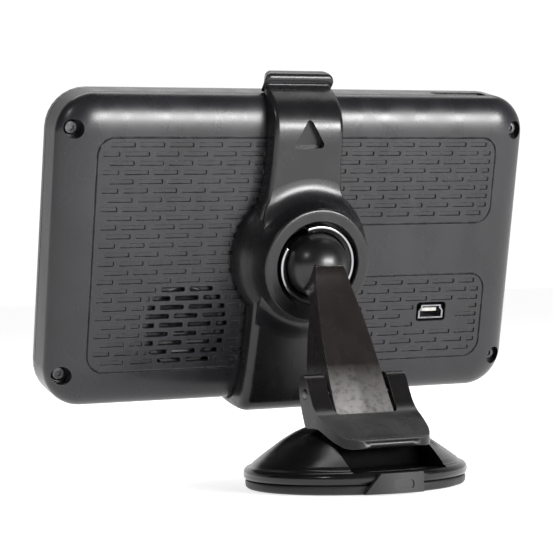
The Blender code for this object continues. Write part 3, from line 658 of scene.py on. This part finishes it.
arm_side = flowing([(-17.5, 57.2), (-13.6, 57.0), (-11.3, 56.2), (-10.2, 54.6),
                    (-8.9, 51.2), (-6.5, 46.1), (-1.4, 35.5), (2.3, 27.6), (5.2, 21.8),
                    (7.7, 17.7)], 5)
arm_side += [(7.3, 17.45), (-5.2, 17.4)]
arm_side += flowing([(-8.6, 20.6), (-10.6, 26.0), (-11.1, 35.6), (-10.9, 43.0), (-11.6, 46.4),
                     (-13.8, 48.6), (-18.5, 51.2)], 4)
arm = plate("arm_body", arm_side, -12.0, 12.0, SIDE)
arm_front = flowing([(8.1, 14.0), (8.1, 18.0), (7.1, 35.5), (6.1, 44.0), (5.1, 50.0),
                     (4.4, 54.4), (3.6, 57.0), (2.2, 58.4), (0.8, 59.0)], 4)
arm = cut(arm, plate("arm_taper", mirrored(arm_front), -40.0, 40.0, FACE), "INTERSECT")
arm = soften(arm, 0.8, 4, 38.0)
arm = cut(arm, rod("pin_hole", PIN_R, (-20.0, PIN_Y, PIN_Z), (20.0, PIN_Y, PIN_Z)))
arm = cut(arm, rod("stem_hole", STEM_R, (0.0, 0.0, 10.0), (0.0, 0.0, 20.4)))
dress(arm, ARM, "mount", WORLD, ["mount_arm"], 32.0)

ball_form = bmesh.new()
bmesh.ops.create_uvsphere(ball_form, u_segments=72, v_segments=40, radius=BALL_R * MM)
for vert in ball_form.verts:
    # the moulded ball has a faint flat where its two mould halves meet
    seam = math.exp(-(vert.co.z / (0.25 * MM)) ** 2)
    vert.co *= 1.0 - 0.004 * seam
ball = link("ball_stud", ball_form)
dress(ball, BALL_GLOSS, "mount",
      DEVICE @ Matrix.Rotation(math.radians(90.0), 4, "Y"), ["mount_arm"])


# ---- suction base --------------------------------------------------------------------
dome_line = [(4.5, 15.0), (11.0, 15.0)]
dome_line += flowing([(11.6, 15.0), (12.6, 14.85), (14.2, 14.25), (16.0, 13.4), (18.6, 11.9),
                      (21.0, 10.2), (23.8, 8.2), (25.9, 6.6)], 4)
dome_line += [(26.3, 6.15), (26.75, 5.75)]
dome_line += flowing([(27.1, 5.7), (27.8, 5.35), (28.35, 4.7), (28.5, 4.0), (28.42, 3.2),
                      (28.1, 2.62)], 3)
dome_line += [(27.7, 2.47), (25.4, 2.47), (24.6, 4.6), (21.0, 7.6), (17.0, 10.3), (13.0, 12.2),
              (9.6, 12.6), (9.6, 5.4), (8.4, 5.4), (4.5, 7.0)]
dome = turned("dome_cover", dome_line, WORLD, CUP_STEPS, closed=True)
fill = plate("notch_walls", [(-14.9, 6.0), (14.9, 6.0), (14.9, 22.0), (-14.9, 22.0)], 4.0, 13.0)
limit = turned("dome_limit", [(0.0, 14.0), (11.6, 14.0), (14.0, 13.2), (16.0, 12.4),
                              (21.0, 9.2), (25.0, 6.0), (26.6, 4.6), (26.6, 3.4), (0.0, 3.4)],
               WORLD, 64)
fill = cut(fill, limit, "INTERSECT")
dome = cut(dome, fill, "UNION")
notch = plate("finger_notch", [(7.9, 30.0), (7.9, 13.9), (12.2, 6.0), (13.4, 5.2), (40.0, 5.2),
                               (40.0, 30.0)], -NOTCH_X, NOTCH_X, SIDE)
dome = cut(dome, notch)
dress(dome, DOME, "dome", WORLD, ["base_dome"], 34.0)

cup_line = [(0.0, 3.0), (9.0, 3.0), (10.0, 2.6), (24.4, 2.35), (27.0, 2.35)]
cup_line += flowing([(27.5, 2.33), (27.95, 2.15), (28.05, 1.6), (28.0, 1.1), (27.9, 0.6),
                     (27.5, 0.2), (26.9, 0.0)], 3)
cup_line += [(24.0, 0.0), (0.0, 0.0)]
cup = turned("rubber_foot", cup_line, WORLD, CUP_STEPS)
tab_foot = plate("tab_foot", arc(0, 0, 29.5, 69, 95, 14) + arc(0, 0, 26.0, 95, 69, 14), 0.45, 1.8)
tab = plate("tab_flap", arc(0, 0, 30.1, 66, 97, 20) + arc(0, 0, 28.9, 97, 66, 20), 0.25, 5.2)
slant = plate("tab_slant", [(7.2, 5.6), (17.0, 5.6), (17.0, -1.0), (12.6, -1.0)], 20.0, 40.0, FACE)
tab = cut(tab, slant)
tab = soften(tab, 0.35, 3, 50.0)
tab = cut(tab, block("tab_dimple", (-0.9, 29.75, 1.3), (4.3, 34.0, 3.5), [("along", "y", 0.8, 4)]))
tab = cut(tab, tab_foot, "UNION")
cup = cut(cup, tab, "UNION")
dress(cup, RUBBER, "mount", WORLD, ["suction_cup"], 34.0)

lever_side = flowing([(-1.7, 26.9), (-0.9, 28.1), (0.2, 28.6), (1.5, 28.2), (2.7, 26.9),
                      (3.7, 25.0), (4.8, 22.9), (6.1, 20.8), (8.2, 18.8), (11.2, 17.2),
                      (15.0, 15.2), (18.6, 13.4), (20.3, 12.9), (21.2, 12.2), (21.3, 11.3),
                      (20.6, 10.7), (18.8, 10.9), (14.5, 12.6), (9.5, 14.8), (6.5, 15.35),
                      (1.7, 15.35), (0.3, 17.2), (-1.0, 20.6), (-1.7, 24.0)], 4, True)
lever = plate("thumb_lever", lever_side, -20.0, 20.0, SIDE)
lever_half = flowing([(14.2, -5.0), (14.2, 5.5), (14.1, 9.0), (13.7, 12.5), (13.0, 16.0),
                      (11.8, 18.6), (9.6, 20.4), (6.5, 21.2), (3.0, 21.4)], 4)
lever = cut(lever, plate("lever_plan", mirrored(lever_half), 5.0, 35.0), "INTERSECT")
throat = block("lever_throat", (-LEVER_X, -8.0, 5.0), (LEVER_X, 8.4, 35.0),
               [("along", "z", 1.6, 5)])
lever = cut(lever, throat)
lever = soften(lever, 0.6, 4, 42.0)
lever = cut(lever, rod("eye", PIN_R, (-20.0, PIN_Y, PIN_Z), (20.0, PIN_Y, PIN_Z)))
dress(lever, LEVER, "lever", WORLD, ["suction_lever"], 36.0)


# ---- CAD nodes that keep their shape -------------------------------------------------
LOOKS = {
    "front_bezel": BEZEL, "power_button": BEZEL, "touch_panel": GLASS, "lcd_panel": PANEL,
    "backlight_tray": STEEL, "main_board": BOARD, "battery_cell": CELL, "processor_chip": CHIP,
    "memory_chip": CHIP, "rf_shield_can": STEEL, "antenna_patch": CERAMIC,
    "display_ribbon": FILM, "power_switch": CHIP, "speaker_driver": CHIP,
    "speaker_gasket": FOAM, "usb_socket_shell": USB_METAL, "usb_contact_tongue": TONGUE,
    "card_socket": STEEL, "case_screw_1": SCREW, "case_screw_2": SCREW, "case_screw_3": SCREW,
    "case_screw_4": SCREW, "ball_seat_pad": SEAT, "suction_stem": SEAT, "lever_pin": SCREW,
}
for name, look in LOOKS.items():
    node = NODES[name]
    node.data.materials.clear()
    node.data.materials.append(look)


# ---- floor, light and camera ---------------------------------------------------------
floor_form = bmesh.new()
bmesh.ops.create_grid(floor_form, x_segments=8, y_segments=8, size=6.0)
floor = link("floor", floor_form)
floor.location.z = -0.0002
pale = bpy.data.materials.new("floor_pale")
pale.use_nodes = True
shader = pale.node_tree.nodes["Principled BSDF"]
shader.inputs["Base Color"].default_value = (0.93, 0.93, 0.935, 1.0)
shader.inputs["Roughness"].default_value = 0.9
shader.inputs["Specular IOR Level"].default_value = 0.1
shader.inputs["Emission Color"].default_value = (1.0, 1.0, 1.0, 1.0)
shader.inputs["Emission Strength"].default_value = 0.74
floor.data.materials.append(pale)

AIM = Vector((0.0, -0.015, 0.05))


def lamp(name, azimuth, elevation, distance, width, height, power):
    """A soft box seen from the object at an azimuth and elevation."""
    a = math.radians(azimuth)
    e = math.radians(elevation)
    away = Vector((math.sin(a) * math.cos(e), -math.cos(a) * math.cos(e), math.sin(e)))
    data = bpy.data.lights.new(name, "AREA")
    data.shape = "RECTANGLE"
    data.size = width
    data.size_y = height
    data.energy = power
    thing = bpy.data.objects.new(name, data)
    thing.location = AIM + away * distance
    thing.rotation_euler = away.to_track_quat("Z", "Y").to_euler()
    bpy.context.scene.collection.objects.link(thing)


lamp("side_box", 203.0, 8.5, 1.0, 0.66, 0.20, 14.0)
lamp("top_box", 335.0, 66.0, 0.9, 1.0, 0.4, 4.0)
lamp("spot_b", 120.0, 31.0, 1.1, 0.06, 0.06, 1.2)

world = bpy.data.worlds.new("studio")
world.use_nodes = True
bpy.context.scene.world = world
tree = world.node_tree
add = tree.nodes.new
join = tree.links.new
sky = tree.nodes["Background"]
spot = add("ShaderNodeTexCoord")
far = add("ShaderNodeVectorMath")
far.operation = "DOT_PRODUCT"
far.inputs[1].default_value = (-0.42, -0.907, 0.0)
join(spot.outputs["Generated"], far.inputs[0])
ramp = add("ShaderNodeValToRGB")
ramp.color_ramp.elements[0].position = 0.58
ramp.color_ramp.elements[0].color = (0.035, 0.032, 0.031, 1.0)
ramp.color_ramp.elements[1].position = 0.95
ramp.color_ramp.elements[1].color = (0.95, 0.95, 0.95, 1.0)
shift = add("ShaderNodeMath")
shift.operation = "MULTIPLY_ADD"
shift.inputs[1].default_value = 0.5
shift.inputs[2].default_value = 0.5
join(far.outputs["Value"], shift.inputs[0])
join(shift.outputs["Value"], ramp.inputs["Fac"])
path = add("ShaderNodeLightPath")
pick = add("ShaderNodeMix")
pick.data_type = "RGBA"
join(path.outputs["Is Camera Ray"], pick.inputs[0])
join(ramp.outputs["Color"], pick.inputs[6])
pick.inputs[7].default_value = (1.0, 1.0, 1.0, 1.0)
join(pick.outputs[2], sky.inputs["Color"])
sky.inputs["Strength"].default_value = 1.05

view = bpy.context.scene.view_settings
view.view_transform = "Standard"
view.look = "None"

AZIMUTH = math.radians(155.14)
ELEVATION = math.radians(-0.13)
ROLL = math.radians(-1.75)
back = Vector((math.sin(AZIMUTH) * math.cos(ELEVATION), -math.cos(AZIMUTH) * math.cos(ELEVATION),
               math.sin(ELEVATION)))
right = Vector((math.cos(AZIMUTH), math.sin(AZIMUTH), 0.0))
up = back.cross(right)
across = math.cos(ROLL) * right + math.sin(ROLL) * up
upward = math.cos(ROLL) * up - math.sin(ROLL) * right
camera_data = bpy.data.cameras.new("camera")
camera_data.lens = 138.1
camera_data.sensor_width = 36.0
camera_data.clip_start = 0.01
camera = bpy.data.objects.new("camera", camera_data)
bpy.context.scene.collection.objects.link(camera)
place = Matrix((across, upward, back)).transposed().to_4x4()
place.translation = Vector((0.24441, 0.48356, 0.05243))
camera.matrix_world = place
bpy.context.scene.camera = camera
